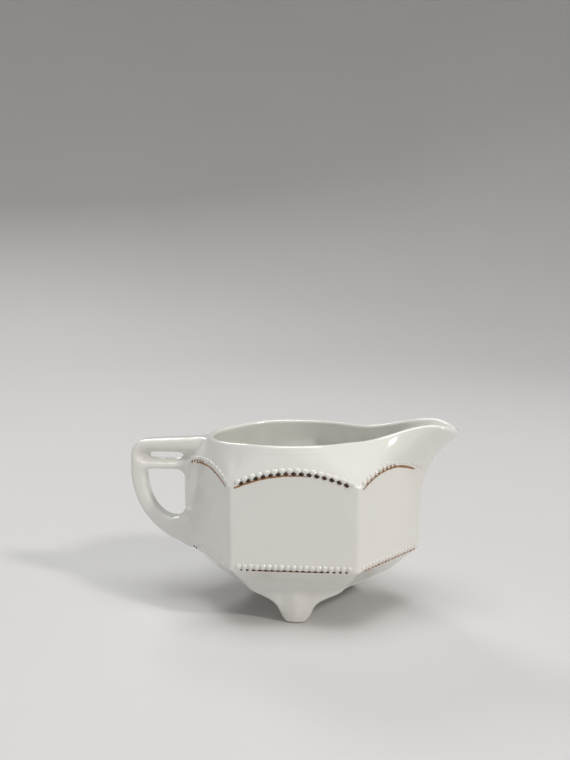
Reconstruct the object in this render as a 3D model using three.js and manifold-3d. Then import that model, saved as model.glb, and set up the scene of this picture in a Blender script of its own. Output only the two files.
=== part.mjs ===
// Porcelain cream jug: a hexagonal panelled body on three drawn feet, with a round
// mouth pulled out into a pouring lip, a pierced loop handle, and beaded borders
// with lines of gilding beneath the beads.
//
// Millimetres, +Z up, +X towards the lip. The origin is on the table, under the
// middle of the overall length.

import * as THREE from 'three';
import { mergeVertices } from 'three/addons/utils/BufferGeometryUtils.js';
import Module from 'manifold-3d';

const wasm = await Module();
wasm.setup();

// ---- driving dimensions: body -------------------------------------------
const panelWidth = 46;         // front and back panels, corner to corner
const cornerReach = 46;        // body axis to the corners under the lip and handle
const halfDepth = 34.5;        // body axis to the front and back panels
const wall = 3;                // body wall
const floorThickness = 3.6;    // floor of the inside, above the underside
const floorInset = 3.9;        // floor of the inside, in from the outside
const undersideHeight = 13.2;  // table to the underside of the body
const lowerEdgeHeight = 21.8;  // table to the lower beaded edge
const cornerHeight = 51.8;     // table to the tops of the panel corners
const archRise = 5.8;          // how far each panel's top arches above its corners
const rimHeight = 66;          // table to the rim, away from the lip
const undersideShare = 0.77;   // plan of the underside, as a share of the panels'
const lowerEdgeShare = 0.99;   // plan at the lower beaded edge, against the corners
const shoulderPower = 1.1;     // how the shoulder curves in: 1 is straight

// ---- driving dimensions: mouth and lip ----------------------------------
const mouthRadius = 32;
const mouthOffset = 3.5;       // mouth centre, behind the body axis
const lipReach = 59.6;         // body axis to the tip of the lip
const lipHalfWidth = 10;       // pouring channel, half its outside width
const lipBluntness = 0.45;     // roundness of the tip, as a share of its half width
const channelRun = 0.7;        // how straight the channel runs on towards the tip
const lipCrest = 50;           // body axis to the highest point of the lip
const lipRiseStart = 23;       // body axis to where the rim starts to rise
const lipRise = 4.8;           // crest above the rest of the rim
const lipDrop = 3;             // tip below the crest
const throatHeight = 40;       // where the lip starts to leave the corner
const throatSpread = 0.42;     // share of each lip side panel that it draws out
const throatPower = 2.2;       // how late the throat turns outwards

// ---- driving dimensions: handle -----------------------------------------
const handleReach = 66.2;      // body axis to the outside of the loop
const handleThickness = 8;
const handleEdge = 1.4;        // bevel along the loop's edges
const handleTop = 63.4;        // table to the middle of the loop's top
const topRise = 0.6;           // the top climbs this much towards the body
const topFall = 0.9;           // and falls this much towards its corner
const topCorner = 6;           // size of that corner
const topCornerLean = 0.3;     // the corner stands in from the loop's outside
const upperBar = 6;            // height of the bar above the slot
const slotLength = 13.7;
const slotHeight = 2.6;
const slotClearance = 0.3;     // slot to the body's corner
const lowerBar = 3.9;          // height of the bar under the slot
const uprightWidth = 5.6;      // outside of the loop to the finger gap
const gapCorner = 1.6;         // radius of the finger gap's upper corner
const gapBend = 3.4;           // body's corner to the lowest point of the gap
const armFoot = 20.4;          // table to the lowest point of the loop
const armRise = 11;            // height of the lower arm under the gap
const armSpread = 1.6;         // the arm thickens upwards where it meets the body
const sweepOffset = 8;         // middle of the loop's sweep, in from the body's corner
const rootDepth = 14;          // the loop's ends run on this far before they are cut
const pocketDepth = 2.2;       // sinking round the slot, on each face
const pocketMargin = 2.2;      // sinking past the end of the slot
const pocketRise = 0.5;        // sinking above and below the slot

// ---- driving dimensions: feet, beading and gilding ----------------------
const footRadius = 25;         // body axis to the middle of each foot's pad
const backFootAngle = 44;      // degrees from the lip or the handle to the rear feet
const footAnkle = 5.4;         // half the width just above the pad
const footRoot = 17;           // half the width where it spreads under the body
const footFlare = 3.2;         // how late it spreads on its way up
const footPadDepth = 6;        // front to back, just above the pad
const footDepth = 9;           // front to back, under the body
const footSetback = 1.5;       // how much further in it stands under the body
const padShare = 0.72;         // size of the pad against the ankle
const padRound = 2.2;          // how quickly the pad rounds into the ankle
const beadRadius = 1.1;
const beadWaist = 0.5;         // radius between two beads, as a share of a bead's
const upperBeadPitch = 2.65;
const lowerBeadPitch = 2.2;
const gildWidth = 0.8;
const gildThickness = 0.35;
const gildDrop = 2.1;          // bead centres to the gilded line beneath
const gap = 0.3;               // between neighbouring pieces
const endMargin = 2.4;         // borders stop this far from each corner

// ---- how finely the pieces are divided ----------------------------------
const gildSteps = 18;
const footLevels = 7;
const footSides = 14;
const arcSegments = 14;
const columnsPerPanel = 14;
const panelCount = 6;
const handleCorner = 3;        // counted anticlockwise from the lip
const columns = columnsPerPanel * panelCount;
const axisOffset = (handleReach - lipReach) / 2;

// ---- materials ----------------------------------------------------------
const glaze = () => new THREE.MeshStandardMaterial({
  color: 0xe6e4dc, roughness: 0.14, metalness: 0,
});
const gold = () => new THREE.MeshStandardMaterial({
  color: 0xa9793f, roughness: 0.34, metalness: 1,
});

const jug = new THREE.Group();
jug.position.x = axisOffset;

function addPiece(name, geometry, material) {
  const mesh = new THREE.Mesh(geometry, material);
  mesh.name = name;
  jug.add(mesh);
  return mesh;
}

// ---- solids -------------------------------------------------------------
// Shares vertices and drops the triangles that collapse at a pole.
function weld(geometry) {
  const bare = geometry.clone();
  bare.deleteAttribute('normal');
  bare.deleteAttribute('uv');
  const welded = mergeVertices(bare, 1e-4);
  const corner = welded.index.array;
  const kept = [];
  for (let i = 0; i < corner.length; i += 3) {
    const [a, b, c] = corner.slice(i, i + 3);
    if (a !== b && b !== c && c !== a) kept.push(a, b, c);
  }
  welded.setIndex(kept);
  return welded;
}

function toSolid(geometry) {
  const welded = weld(geometry);
  return new wasm.Manifold(new wasm.Mesh({
    numProp: 3,
    vertProperties: new Float32Array(welded.attributes.position.array),
    triVerts: new Uint32Array(welded.index.array),
  }));
}

function toGeometry(solid) {
  const mesh = solid.getMesh();
  const geometry = new THREE.BufferGeometry();
  geometry.setAttribute('position', new THREE.BufferAttribute(mesh.vertProperties, 3));
  geometry.setIndex(new THREE.BufferAttribute(mesh.triVerts, 1));
  geometry.computeVertexNormals();
  return geometry;
}

// ---- plan of the body ---------------------------------------------------
// The corners run anticlockwise from the lip. A place round the body is a panel
// number and a share t of the way along that panel.
const panelCorners = [
  [cornerReach, 0], [panelWidth / 2, halfDepth], [-panelWidth / 2, halfDepth],
  [-cornerReach, 0], [-panelWidth / 2, -halfDepth], [panelWidth / 2, -halfDepth],
].map(([x, y]) => new THREE.Vector2(x, y));

const mouthCentre = new THREE.Vector2(-mouthOffset, 0);
const mouthAngle = panelCorners.map((p) => p.clone().sub(mouthCentre).angle());

function onMouthCircle(angle) {
  return new THREE.Vector2(Math.cos(angle), Math.sin(angle))
    .multiplyScalar(mouthRadius).add(mouthCentre);
}

// Half of the lip's outline, from its tip back to the round of the mouth.
const lipOutline = (() => {
  const joint = onMouthCircle(mouthAngle[1]);
  const tangent = new THREE.Vector2(joint.y, -(joint.x - mouthCentre.x)).normalize();
  const channelEnd = new THREE.Vector2(lipCrest - 1, lipHalfWidth);
  const outline = new THREE.CurvePath();
  outline.add(new THREE.CubicBezierCurve(
    new THREE.Vector2(lipReach, 0),
    new THREE.Vector2(lipReach, lipHalfWidth * lipBluntness),
    new THREE.Vector2(channelEnd.x + (lipReach - lipCrest) * channelRun, lipHalfWidth),
    channelEnd,
  ));
  outline.add(new THREE.CubicBezierCurve(
    channelEnd,
    new THREE.Vector2(lipCrest - lipHalfWidth, lipHalfWidth),
    joint.clone().addScaledVector(tangent, lipHalfWidth),
    joint,
  ));
  return outline;
})();

function mouthPoint(panel, t) {
  if (panel === 0) return lipOutline.getPointAt(t);
  if (panel === panelCount - 1) return lipOutline.getPointAt(1 - t).multiply(new THREE.Vector2(1, -1));
  const start = mouthAngle[panel];
  return onMouthCircle(THREE.MathUtils.lerp(start, mouthAngle[panel + 1], t));
}

function panelPoint(panel, t) {
  return panelCorners[panel].clone().lerp(panelCorners[(panel + 1) % panelCount], t);
}

// 1 at the lip corner, falling to 0 part of the way along its two panels.
function lipPull(panel, t) {
  const away = panel === 0 ? t : panel === panelCount - 1 ? 1 - t : 1;
  return Math.max(0, 1 - away / throatSpread) ** 2;
}

function archHeight(t) {
  return cornerHeight + archRise * 4 * t * (1 - t);
}

function rimTop(panel, t) {
  const { x } = mouthPoint(panel, t);
  const rise = lipRise * THREE.MathUtils.smoothstep(x, lipRiseStart, lipCrest);
  const past = Math.max(0, (x - lipCrest) / (lipReach - lipCrest));
  return rimHeight + rise - lipDrop * past ** 2;
}

// The plan of the panels at a height, as a share of the hexagon at their corners.
function planShare(height) {
  const bands = height < lowerEdgeHeight
    ? [undersideHeight, lowerEdgeHeight, undersideShare, lowerEdgeShare]
    : [lowerEdgeHeight, cornerHeight, lowerEdgeShare, 1];
  return THREE.MathUtils.mapLinear(Math.min(height, cornerHeight), ...bands);
}

// Outside of the body at a height: panels below, drawn towards the mouth above.
function bodyPoint(panel, t, height) {
  const pull = lipPull(panel, t);
  const start = THREE.MathUtils.lerp(archHeight(t), throatHeight, pull);
  const power = THREE.MathUtils.lerp(shoulderPower, throatPower, pull);
  const rim = rimTop(panel, t) - wall / 2;
  const draw = THREE.MathUtils.clamp((height - start) / (rim - start), 0, 1) ** power;
  return panelPoint(panel, t).multiplyScalar(planShare(height)).lerp(mouthPoint(panel, t), draw);
}

// ---- closed surfaces round the body -------------------------------------
// One row is a closed loop of points; heightAt gives its height at each place.
function bodyRow(heightAt) {
  return Array.from({ length: columns }, (_, column) => {
    const panel = Math.floor(column / columnsPerPanel);
    const t = (column % columnsPerPanel) / columnsPerPanel;
    const height = heightAt(panel, t);
    const { x, y } = bodyPoint(panel, t, height);
    return new THREE.Vector3(x, y, height);
  });
}

// Moves a row inwards by a distance measured square to it, keeping its corners.
const sharpestMitre = 0.5;

function insetRow(row, distance, lift = 0) {
  const edgeNormal = (from, to) => new THREE.Vector2(to.y - from.y, from.x - to.x).normalize();
  return row.map((point, i) => {
    const before = edgeNormal(row[(i + columns - 1) % columns], point);
    const after = edgeNormal(point, row[(i + 1) % columns]);
    const mitre = before.clone().add(after).normalize();
    const reach = distance / Math.max(mitre.dot(after), sharpestMitre);
    return new THREE.Vector3(point.x - mitre.x * reach, point.y - mitre.y * reach, point.z + lift);
  });
}

// A lathe turned from a plain profile carries the rows: its first and last points
// stay on the axis and close the surface.
function rowsToGeometry(rows, bottom, top) {
  const profile = [new THREE.Vector2(0, bottom)];
  rows.forEach((_, i) => profile.push(new THREE.Vector2(1, i)));
  profile.push(new THREE.Vector2(0, top));
  const geometry = new THREE.LatheGeometry(profile, columns);
  const position = geometry.attributes.position;
  for (let column = 0; column <= columns; column += 1) {
    const first = column * profile.length;
    position.setXYZ(first, 0, 0, bottom);
    rows.forEach((row, i) => position.setXYZ(first + 1 + i, ...row[column % columns]));
    position.setXYZ(first + profile.length - 1, 0, 0, top);
  }
  return geometry;
}

// Rows stand closest where the throat turns outwards and where the shoulder starts.
const panelShares = [0, 0.4, 0.6, 0.72, 0.82, 0.91, 1];
const shoulderShares = [0.12, 0.25, 0.4, 0.56, 0.74, 1];
const rimDegrees = [40, 90, 140];
const bandHeight = (share) => (panel, t) => (
  THREE.MathUtils.lerp(lowerEdgeHeight, archHeight(t), share)
);
const shoulderHeight = (share) => (panel, t) => (
  THREE.MathUtils.lerp(archHeight(t), rimTop(panel, t) - wall / 2, share)
);

const outerRows = [
  bodyRow(() => undersideHeight),
  ...panelShares.map((share) => bodyRow(bandHeight(share))),
  ...shoulderShares.map((share) => bodyRow(shoulderHeight(share))),
];

function buildBody() {
  const rimRow = outerRows[outerRows.length - 1];
  const roundedRim = rimDegrees.map((degrees) => {
    const angle = THREE.MathUtils.degToRad(degrees);
    return insetRow(rimRow, wall / 2 * (1 - Math.cos(angle)), wall / 2 * Math.sin(angle));
  });
  const floorHeight = undersideHeight + floorThickness;
  const floorRow = insetRow(bodyRow(() => floorHeight), floorInset);
  const innerRows = outerRows.slice(1).reverse().map((row) => insetRow(row, wall));
  const rows = [...outerRows, ...roundedRim, ...innerRows, floorRow];
  return weld(rowsToGeometry(rows, undersideHeight, floorHeight));
}

// The body's outside with the gap added all round: it cuts what meets the body.
function buildBodyClearance() {
  const grown = outerRows.map((row) => insetRow(row, -gap));
  grown[0].forEach((point) => { point.z -= gap; });
  const lid = grown[grown.length - 1].map((p) => new THREE.Vector3(p.x, p.y, p.z + wall));
  return toSolid(rowsToGeometry([...grown, lid], undersideHeight - gap, rimHeight + wall));
}

// ---- handle -------------------------------------------------------------
const gapTop = handleTop - upperBar - slotHeight - lowerBar;
const gapFloor = armFoot + armRise;
const gapLeft = uprightWidth - handleReach;

// The loop from the side: an elliptical sweep outside, and inside it the D-shaped
// finger gap, which is open towards the body. Both ends run on into the body, which
// then cuts them.
function handleOutline() {
  const inBody = rootDepth - cornerReach;
  const cornerX = topCornerLean - handleReach;
  const sweepX = sweepOffset - cornerReach;
  const bendX = -gapBend - cornerReach;
  const outline = new THREE.Shape();
  outline.moveTo(inBody, handleTop + topRise);
  outline.lineTo(topCorner - handleReach, handleTop - topFall);
  outline.quadraticCurveTo(cornerX, handleTop - topFall, cornerX, handleTop - topCorner);
  outline.absellipse(
    sweepX, gapTop, handleReach + sweepX, gapTop - armFoot, Math.PI, Math.PI * 1.5, false,
  );
  outline.lineTo(inBody, armFoot + topRise);
  outline.lineTo(inBody, gapFloor + armSpread);
  outline.lineTo(slotClearance - cornerReach, gapFloor + armSpread);
  outline.quadraticCurveTo(-cornerReach, gapFloor, bendX, gapFloor);
  outline.absellipse(
    bendX, gapTop - gapCorner, bendX - gapLeft, gapTop - gapCorner - gapFloor,
    Math.PI * 1.5, Math.PI, true,
  );
  outline.quadraticCurveTo(gapLeft, gapTop, gapLeft + gapCorner, gapTop);
  outline.lineTo(inBody, gapTop);
  outline.closePath();
  return outline;
}

function stadium(left, right, bottom, top) {
  const radius = (top - bottom) / 2;
  const middle = (top + bottom) / 2;
  const shape = new THREE.Shape();
  shape.moveTo(left + radius, bottom);
  shape.lineTo(right - radius, bottom);
  shape.absarc(right - radius, middle, radius, -Math.PI / 2, Math.PI / 2, false);
  shape.lineTo(left + radius, top);
  shape.absarc(left + radius, middle, radius, Math.PI / 2, Math.PI * 1.5, false);
  return shape;
}

// Extrudes a side outline across the jug, centred on its middle plane.
function acrossJug(shape, thickness, bevel) {
  const geometry = new THREE.ExtrudeGeometry(shape, {
    depth: thickness - 2 * bevel,
    bevelEnabled: bevel > 0,
    bevelThickness: bevel,
    bevelSize: bevel,
    bevelOffset: -bevel,
    bevelSegments: 2,
    curveSegments: arcSegments,
  });
  geometry.translate(0, 0, bevel - thickness / 2);
  return geometry.rotateX(Math.PI / 2);
}

function buildHandle(bodyClearance) {
  const slotTop = handleTop - upperBar;
  const slotBottom = slotTop - slotHeight;
  const slotRight = slotClearance - cornerReach;
  const slotLeft = slotRight - slotLength;
  const slot = stadium(slotLeft, slotRight, slotBottom, slotTop);
  const pocket = stadium(
    slotLeft - pocketMargin, slotRight + rootDepth, slotBottom - pocketRise, slotTop + pocketRise,
  );
  let solid = toSolid(acrossJug(handleOutline(), handleThickness, handleEdge));
  solid = solid.subtract(toSolid(acrossJug(slot, handleThickness * 2, 0)));
  for (const side of [-1, 1]) {
    const sinking = acrossJug(pocket, pocketDepth * 2, 0);
    sinking.translate(0, side * handleThickness / 2, 0);
    solid = solid.subtract(toSolid(sinking));
  }
  return toGeometry(solid.subtract(bodyClearance));
}

// ---- feet ---------------------------------------------------------------
// A tongue drawn down from the lower edge: wide at the root, with a small flat pad.
function buildFoot() {
  const height = undersideHeight - gap;
  const geometry = new THREE.CylinderGeometry(1, 1, 1, footSides, footLevels);
  const position = geometry.attributes.position;
  for (let i = 0; i < position.count; i += 1) {
    const share = position.getY(i) + 0.5;
    const round = Math.min(1, padShare + share * padRound);
    const halfWidth = THREE.MathUtils.lerp(footAnkle, footRoot, share ** footFlare) * round;
    const halfDeep = THREE.MathUtils.lerp(footPadDepth, footDepth, share) / 2 * round;
    const across = position.getX(i) * halfWidth;
    const inward = share * footSetback - position.getZ(i) * halfDeep;
    position.setXYZ(i, across, inward, share * height);
  }
  return weld(geometry);
}

// ---- beading and gilding ------------------------------------------------
// A point along one panel's border, off the body by the gap and half a thickness.
// The body may lean outwards over the border's own height, so the outermost counts.
function borderPoint(panel, t, height, halfHeight, halfThickness) {
  const here = bodyPoint(panel, t, height);
  const step = 0.01;
  const along = bodyPoint(panel, t + step, height)
    .sub(bodyPoint(panel, t - step, height)).normalize();
  const outward = new THREE.Vector2(along.y, -along.x);
  const lean = [-halfHeight, 0, halfHeight].map((rise) => (
    bodyPoint(panel, t, height + rise).sub(here).dot(outward)
  ));
  const place = here.addScaledVector(outward, Math.max(...lean) + gap + halfThickness);
  return new THREE.Vector3(place.x, place.y, height);
}

function panelSide(panel) {
  return panelPoint(panel, 1).distanceTo(panelPoint(panel, 0));
}

// How far from a corner a border stops: at the handle's corner it clears the handle.
function cornerMargin(corner) {
  if (corner !== handleCorner) return endMargin;
  return (handleThickness / 2 + beadRadius + gap) * panelSide(handleCorner) / halfDepth;
}

// Sweeps a ring of points along a border between the two corners' margins. sizeAt
// gives the ring's half height and half thickness at each step.
function sweepBorder(panel, heightAt, steps, ringSides, sizeAt) {
  const first = cornerMargin(panel) / panelSide(panel);
  const last = 1 - cornerMargin((panel + 1) % panelCount) / panelSide(panel);
  const largest = sizeAt(1);
  const centres = Array.from({ length: steps + 1 }, (_, i) => {
    const t = THREE.MathUtils.lerp(first, last, i / steps);
    return borderPoint(panel, t, heightAt(t), largest.halfHeight, largest.halfThickness);
  });
  const geometry = new THREE.CylinderGeometry(1, 1, 1, ringSides, steps);
  const position = geometry.attributes.position;
  for (let i = 0; i < position.count; i += 1) {
    const step = Math.round((position.getY(i) + 0.5) * steps);
    const next = centres[Math.min(step + 1, steps)];
    const forward = next.clone().sub(centres[Math.max(step - 1, 0)]).normalize();
    const outward = new THREE.Vector3(forward.y, -forward.x, 0).normalize();
    const upward = new THREE.Vector3().crossVectors(outward, forward);
    const { halfHeight, halfThickness } = sizeAt(step);
    const place = centres[step].clone()
      .addScaledVector(outward, position.getX(i) * halfThickness)
      .addScaledVector(upward, position.getZ(i) * halfHeight);
    position.setXYZ(i, place.x, place.y, place.z);
  }
  return weld(geometry);
}

// A string of beads: the ring swells on every other step and closes in between.
function beadRow(panel, heightAt, pitch) {
  const beads = Math.round((panelSide(panel) - 2 * endMargin) / pitch);
  return sweepBorder(panel, heightAt, beads * 2, 6, (step) => {
    const size = step % 2 ? beadRadius : beadRadius * beadWaist;
    return { halfHeight: size, halfThickness: size };
  });
}

function gildLine(panel, heightAt) {
  const size = { halfHeight: gildWidth / 2, halfThickness: gildThickness / 2 };
  return sweepBorder(panel, (t) => heightAt(t) - gildDrop, gildSteps, 4, () => size);
}

// ---- assembly -----------------------------------------------------------
const bodyClearance = buildBodyClearance();
addPiece('body_shell', buildBody(), glaze());
addPiece('handle', buildHandle(bodyClearance), glaze());

const feet = {
  foot_front: -90,
  foot_back_lip_side: backFootAngle,
  foot_back_handle_side: 180 - backFootAngle,
};
for (const [name, degrees] of Object.entries(feet)) {
  const angle = THREE.MathUtils.degToRad(degrees);
  const foot = addPiece(name, buildFoot(), glaze());
  foot.position.set(Math.cos(angle) * footRadius, Math.sin(angle) * footRadius, 0);
  foot.rotation.z = angle + Math.PI / 2;
}

const panelNames = ['back_lip', 'back', 'back_handle', 'front_handle', 'front', 'front_lip'];
const lowerBorderHeight = () => lowerEdgeHeight + beadRadius;
panelNames.forEach((name, panel) => {
  addPiece(`upper_beading_${name}`, beadRow(panel, archHeight, upperBeadPitch), glaze());
  addPiece(`upper_gilding_${name}`, gildLine(panel, archHeight), gold());
  addPiece(`lower_beading_${name}`, beadRow(panel, lowerBorderHeight, lowerBeadPitch), glaze());
  addPiece(`lower_gilding_${name}`, gildLine(panel, lowerBorderHeight), gold());
});

export default jug;
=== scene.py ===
# %% [markdown]
# # A porcelain cream jug
# A small slip-cast jug: six upright panels, three drawn feet, a round mouth pulled
# out into a lip, a pierced loop handle, and borders of beads touched with gold.
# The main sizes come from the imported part, so everything lands in its own place.

# %% Load the frame
import math

import bmesh
import bpy
from mathutils import Matrix, Vector, noise
from mathutils.bvhtree import BVHTree
from mathutils.geometry import interpolate_bezier


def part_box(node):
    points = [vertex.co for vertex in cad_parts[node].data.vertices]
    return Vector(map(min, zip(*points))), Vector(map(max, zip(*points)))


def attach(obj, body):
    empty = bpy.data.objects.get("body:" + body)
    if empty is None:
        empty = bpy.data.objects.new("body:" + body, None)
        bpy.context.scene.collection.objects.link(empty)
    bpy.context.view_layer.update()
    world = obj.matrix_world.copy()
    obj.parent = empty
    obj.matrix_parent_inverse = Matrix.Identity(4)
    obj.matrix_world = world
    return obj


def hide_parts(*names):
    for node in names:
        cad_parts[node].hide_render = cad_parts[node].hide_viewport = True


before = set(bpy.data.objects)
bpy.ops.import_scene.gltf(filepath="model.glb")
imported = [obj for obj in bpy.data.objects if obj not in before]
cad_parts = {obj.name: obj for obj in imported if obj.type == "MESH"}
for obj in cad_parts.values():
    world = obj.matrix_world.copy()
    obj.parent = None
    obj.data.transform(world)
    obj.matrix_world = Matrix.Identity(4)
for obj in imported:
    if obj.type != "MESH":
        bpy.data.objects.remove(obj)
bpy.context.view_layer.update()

# %% [markdown]
# ## Sizes
# A maker starts from a few measurements. The overall ones are read from the boxes
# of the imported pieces, and the rest are written here in millimetres.

# %% Sizes of the body
MM = 0.001
body_low, body_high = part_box("body_shell")
foot_low, foot_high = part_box("foot_front")
handle_low, handle_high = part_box("handle")

axis_x = (foot_low.x + foot_high.x) / 2
corner_reach = axis_x - body_low.x
lip_reach = body_high.x - axis_x
half_depth = body_high.y
underside = body_low.z
rim_crest = body_high.z
panel_width = 46 * MM
lower_edge = 21.8 * MM
corner_top = 51.8 * MM
arch_rise = 5.8 * MM
rim_level = 66 * MM
floor_thickness = 3.6 * MM
floor_level = underside + floor_thickness
edge_soft = 1.3 * MM
underside_share = 0.752
lower_edge_share = 0.99
print("body axis at x =", round(axis_x / MM, 2), "mm")

# %% Sizes of the mouth and lip
mouth_radius = 32 * MM
mouth_centre = Vector((-3.5 * MM, 0))
lip_half_width = 10 * MM
lip_crest = 50 * MM
lip_drop = 3 * MM
throat = 40 * MM
throat_spread = 0.42
lip_bluntness = 0.45
lip_rise_start = 0.72 * mouth_radius
channel_share = 0.7
rim_thickness = 2.3 * MM
rim_sag = 0.9 * MM
shoulder_soft = 8 * MM
shoulder_power = 1.1
throat_power = 2.2
wall = 3 * MM
print("mouth", round(2 * mouth_radius / MM, 1), "mm across")


# %% Small helpers
def mix(a, b, share):
    return a + (b - a) * share


def clamp(value, low=0.0, high=1.0):
    return max(low, min(high, value))


def ease(value, low, high):
    """Nought below low, one above high, and a smooth step between them."""
    share = clamp((value - low) / (high - low))
    return share * share * (3 - 2 * share)


def in_scene(name, data):
    """A new object in the scene: a shape, a lamp or a camera."""
    made = bpy.data.objects.new(name, data)
    bpy.context.scene.collection.objects.link(made)
    return made


def shape(name, bm):
    """Turns a bmesh into an object."""
    mesh = bpy.data.meshes.new(name)
    bm.to_mesh(mesh)
    bm.free()
    return in_scene(name, mesh)


def finish_piece(name, bm, replaced):
    """Turns a bmesh into a piece that rides on the jug."""
    piece = shape(name, bm)
    piece.data.shade_smooth()
    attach(piece, "root")
    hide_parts(*replaced)
    triangles = sum(len(p.vertices) - 2 for p in piece.data.polygons)
    print(name, triangles, "triangles")
    return piece


# %% [markdown]
# ## The plan of the jug
# Seen from above, the panels make a flattened hexagon and the mouth is a circle
# with a lip drawn out of it. A place round the body is a side number, counted
# anticlockwise from the lip, and a share of the way along that side. The corners
# of glazed porcelain are never sharp, so each is turned with a short curve.

# %% The six-sided plan
SIDES = 6
corners = [
    Vector((corner_reach, 0)),
    Vector((panel_width / 2, half_depth)),
    Vector((-panel_width / 2, half_depth)),
    Vector((-corner_reach, 0)),
    Vector((-panel_width / 2, -half_depth)),
    Vector((panel_width / 2, -half_depth)),
]


def turned_corner(number, share, soft):
    """A place on the short curve that turns a corner, from one side to the next."""
    corner = corners[number % SIDES]
    before = corner + (corners[(number - 1) % SIDES] - corner).normalized() * soft
    after = corner + (corners[(number + 1) % SIDES] - corner).normalized() * soft
    return before.lerp(corner, share).lerp(corner.lerp(after, share), share)


def hexagon(side, share, soft):
    """A place on the six-sided plan, with its corners turned."""
    start, end = corners[side], corners[(side + 1) % SIDES]
    length = (end - start).length
    along = share * length
    if along < soft:
        return turned_corner(side, 0.5 + 0.5 * along / soft, soft)
    if length - along < soft:
        return turned_corner(side + 1, 0.5 - 0.5 * (length - along) / soft, soft)
    return start.lerp(end, share)


# %% The mouth and the lip
def on_mouth(angle):
    return mouth_centre + Vector((math.cos(angle), math.sin(angle))) * mouth_radius


def angle_of(corner):
    away = corner - mouth_centre
    return math.atan2(away.y, away.x) % math.tau


joint = on_mouth(angle_of(corners[1]))
joint_run = Vector((joint.y, mouth_centre.x - joint.x)).normalized() * lip_half_width
channel_end = Vector((lip_crest - 1 * MM, lip_half_width))
channel_run = Vector((channel_share * (lip_reach - lip_crest), 0))
lip_steps = 60
channel_steps = 90
half_lip = interpolate_bezier(
    Vector((lip_reach, 0)), Vector((lip_reach, lip_half_width * lip_bluntness)),
    channel_end + channel_run, channel_end, lip_steps,
)[:-1] + interpolate_bezier(
    channel_end, Vector((lip_crest - lip_half_width, lip_half_width)),
    joint + joint_run, joint, channel_steps,
)
print(len(half_lip), "points from the tip of the lip to the round of the mouth")


def walk(points, share):
    """The point a share of the way along a line of points, measured by length."""
    steps = [(b - a).length for a, b in zip(points, points[1:])]
    left = share * sum(steps)
    for start, end, step in zip(points, points[1:], steps):
        if left <= step:
            return start.lerp(end, left / step)
        left -= step
    return points[-1].copy()


def mouth(side, share):
    """A place on the plan of the mouth, above a place on the six-sided plan."""
    if side == 0:
        return walk(half_lip, share)
    if side == SIDES - 1:
        return walk(half_lip, 1 - share) * Vector((1, -1))
    start = angle_of(corners[side])
    return on_mouth(mix(start, angle_of(corners[side + 1]), share))


# %% [markdown]
# ## Columns and rows
# The body is one skin: a flat sheet of clay rolled round, then pulled to shape. A
# column stands at each place round the jug and knows what it passes on its way up.
# Columns crowd together at the corners, where the surface turns quickly.

# %% One column
rim_radius = rim_thickness / 2
crowding = 0.78


def arch_height(share):
    """The top edge of a panel, highest in its middle."""
    return corner_top + arch_rise * 4 * share * (1 - share)


class Column:
    """A place round the jug, with the levels that the skin passes above it."""

    def __init__(self, side, step, steps):
        even = step / steps
        crowded = even * even * (3 - 2 * even)
        self.side = side
        self.share = mix(even, crowded, crowding)
        self.mouth = mouth(side, self.share)
        away = {0: self.share, SIDES - 1: 1 - self.share}.get(side, 1)
        self.pull = max(0, 1 - away / throat_spread) ** 2
        self.arch = arch_height(self.share)
        past = max(0, (self.mouth.x - lip_crest) / (lip_reach - lip_crest))
        lift = (rim_crest - rim_level) * ease(self.mouth.x, lip_rise_start, lip_crest)
        sag = rim_sag * ease(-self.mouth.x, 14 * MM, 34 * MM)
        self.rim = rim_level + lift - lip_drop * past * past - sag
        self.top = self.rim - rim_radius
        self.lean = self.find_lean()
        self.top = self.rim - rim_radius * (1 - math.sin(self.lean))

    def find_lean(self):
        """How far the wall leans inwards, from upright, where it meets the rim."""
        step = 0.01
        ahead = mouth(self.side, min(1, self.share + step))
        behind = mouth(self.side, max(0, self.share - step))
        outward = Vector((ahead.y - behind.y, behind.x - ahead.x)).normalized()
        rise = 0.6 * MM
        travel = self.outside(self.top - rise) - self.outside(self.top)
        return math.atan2(travel.dot(outward), rise)

    def outside(self, height, soft=edge_soft):
        """The outer surface in plan at a height between the lower edge and the rim."""
        start = mix(self.arch, throat, self.pull)
        power = mix(shoulder_power, throat_power, self.pull)
        draw = clamp((height - start) / (self.top - start)) ** power
        rise = clamp((height - lower_edge) / (corner_top - lower_edge))
        taper = mix(lower_edge_share, 1, rise)
        corner_soft = max(soft, shoulder_soft * ease(draw, 0, 0.7))
        plan = hexagon(self.side, self.share, corner_soft) * taper
        return plan.lerp(self.mouth, draw)


COLUMNS_PER_SIDE = 48
columns = [
    Column(side, step, COLUMNS_PER_SIDE)
    for side in range(SIDES)
    for step in range(COLUMNS_PER_SIDE)
]
print(len(columns), "columns round the body")


def inset(row, distance):
    """Moves a closed row of plan points inwards, by one distance or one for each."""
    distances = distance if isinstance(distance, list) else [distance] * len(row)
    moved = []
    for i, (point, reach) in enumerate(zip(row, distances)):
        run = row[(i + 1) % len(row)] - row[i - 1]
        moved.append(point + Vector((-run.y, run.x)).normalized() * reach)
    return moved


def raised(row, heights):
    return [Vector((p.x, p.y, z)) for p, z in zip(row, heights)]


# %% [markdown]
# ## Feet
# The feet of a slip-cast jug are not stuck on. The lower edge is drawn down into a
# tongue, wide where it leaves the body and rounded at the tip. A tongue is written
# here as a depth under the body, for any place across the foot and behind its face.
# One foot stands under the front panel. The two at the back are drawn narrower.

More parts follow.
